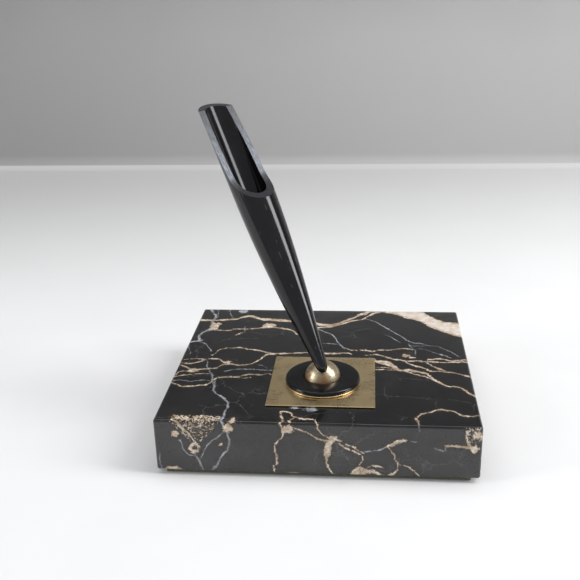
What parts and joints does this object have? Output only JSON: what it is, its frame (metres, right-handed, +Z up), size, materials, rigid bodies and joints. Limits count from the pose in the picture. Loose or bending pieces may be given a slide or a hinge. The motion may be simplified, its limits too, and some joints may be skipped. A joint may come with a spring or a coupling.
{
  "type": "desk pen stand",
  "caption": "Desk pen stand with a black veined marble base and a leaning, scooped pen socket on a friction ball joint.",
  "frame": {"origin": "centre of the felt pad's underside, on the desk", "axes": "+Z up, -Y the front edge nearest the pen joint, +X to the right seen from the front"},
  "size_m": [0.1142, 0.0996, 0.1197],
  "materials": {
    "marble": "polished stone",
    "felt": "felt",
    "satin_brass": "satin",
    "polished_brass": "polished",
    "black_gloss": "gloss",
    "nylon": "natural",
    "steel": "bright",
    "fibre": "matte"
  },
  "bodies": {
    "base": {"marble_base": "marble", "felt_pad": "felt", "brass_plate": "satin_brass", "rim_ring": "polished_brass", "escutcheon_cap": "black_gloss", "ball_housing": "satin_brass", "friction_ring": "nylon", "seat_spring": "steel", "mounting_screw": "steel", "fibre_washer": "fibre", "steel_washer": "steel", "lock_washer": "steel", "hex_nut": "steel"},
    "seat": {"ball_seat": "nylon"},
    "ball": {"swivel_ball": "polished_brass"},
    "socket": {"ball_stud": "steel", "pen_socket": "black_gloss", "nib_liner": "nylon"}
  },
  "joints": [
    {"name": "swivel", "type": "hinge", "parent": "base", "child": "seat", "pos_m": [0.001, -0.019, 0.024], "axis": [0, 0, 1], "continuous": true},
    {"name": "lean", "type": "hinge", "parent": "seat", "child": "ball", "pos_m": [0.001, -0.019, 0.024], "axis": [0.7133, 0.7009, 0], "range_deg": [-42, 20]},
    {"name": "twist", "type": "hinge", "parent": "ball", "child": "socket", "pos_m": [0.001, -0.019, 0.024], "axis": [-0.0779, -0.4428, 0.8933], "range_deg": [-25, 25]}
  ]
}
